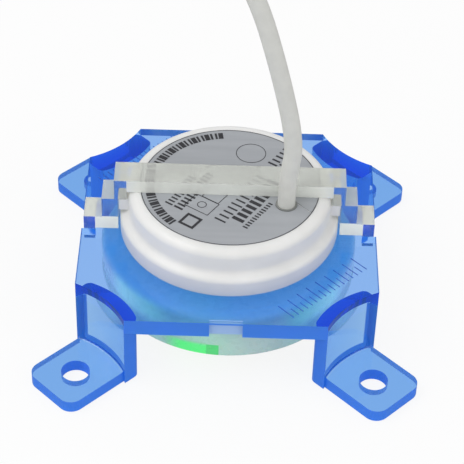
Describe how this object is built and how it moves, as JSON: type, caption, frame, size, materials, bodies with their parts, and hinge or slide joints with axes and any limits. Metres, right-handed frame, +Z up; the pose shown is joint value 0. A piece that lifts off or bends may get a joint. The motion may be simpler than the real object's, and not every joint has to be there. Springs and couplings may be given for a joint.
{
  "type": "water leak sensor",
  "caption": "Round leak sensor with a translucent sensing cup, clamped in a clear blue footed bracket under a frosted lock bar, with its cable.",
  "frame": {"origin": "on the floor under the middle of the bracket's plate, between its four feet", "axes": "+Z up; +X to the right along the retaining bar, +Y to the back, away from the plate edge with the recess"},
  "size_m": [0.1765, 0.0952, 0.114],
  "materials": {
    "blue_plastic": "clear saturated blue, smooth",
    "frosted_clear": "frosted clear",
    "white_ptfe": "satin white fluoropolymer",
    "milky_plastic": "milky translucent",
    "label_foil": "fine brushed grey foil with dark print",
    "seal_rubber": "natural silicone",
    "collar_rubber": "dark grey",
    "crimp_metal": "plated",
    "cable_jacket": "satin light grey sheath",
    "core_brown": "core insulation",
    "core_blue": "core insulation",
    "core_black": "core insulation",
    "core_white": "core insulation",
    "solder": "bright",
    "copper": "plated copper",
    "holder_plastic": "natural white",
    "board_laminate": "green laminate",
    "can_metal": "tinned",
    "chip_epoxy": "black moulded",
    "capacitor_body": "moulded",
    "resistor_body": "glazed",
    "potting": "cast resin",
    "flex_film": "amber film",
    "lamp_green": "green lamp",
    "guide_clear": "clear moulded",
    "ferrule_metal": "tinned"
  },
  "bodies": {
    "base": {"mounting_bracket": "blue_plastic", "upper_housing": "white_ptfe", "lower_housing": "milky_plastic", "flange_seal": "seal_rubber", "neck_seal": "seal_rubber", "label_disc": "label_foil", "cable_collar": "collar_rubber", "cable_grip": "crimp_metal", "cable_stub": "cable_jacket", "inner_wire_brown": "core_brown", "inner_wire_blue": "core_blue", "inner_wire_black": "core_black", "inner_wire_white": "core_white", "solder_joints": "solder", "sensing_electrode": "copper", "guard_ring": "copper", "contact_pin": "copper", "electrode_holder": "holder_plastic", "circuit_board": "board_laminate", "shield_can": "can_metal", "oscillator_chip": "chip_epoxy", "output_driver": "chip_epoxy", "voltage_regulator": "chip_epoxy", "capacitors": "capacitor_body", "resistors": "resistor_body", "protection_diode": "chip_epoxy", "potting_fill": "potting", "lamp_flex": "flex_film", "indicator_lamp": "lamp_green", "light_guide": "guide_clear", "cable_lead": "cable_jacket", "cable_coil": "cable_jacket", "core_brown": "core_brown", "core_blue": "core_blue", "core_black": "core_black", "core_white": "core_white", "core_ferrules": "ferrule_metal"},
    "bar": {"retaining_bar": "frosted_clear"}
  },
  "joints": [
    {"name": "bar_lift", "type": "slide", "parent": "base", "child": "bar", "axis": [0, 0, 1], "range_m": [0, 0.012]}
  ]
}
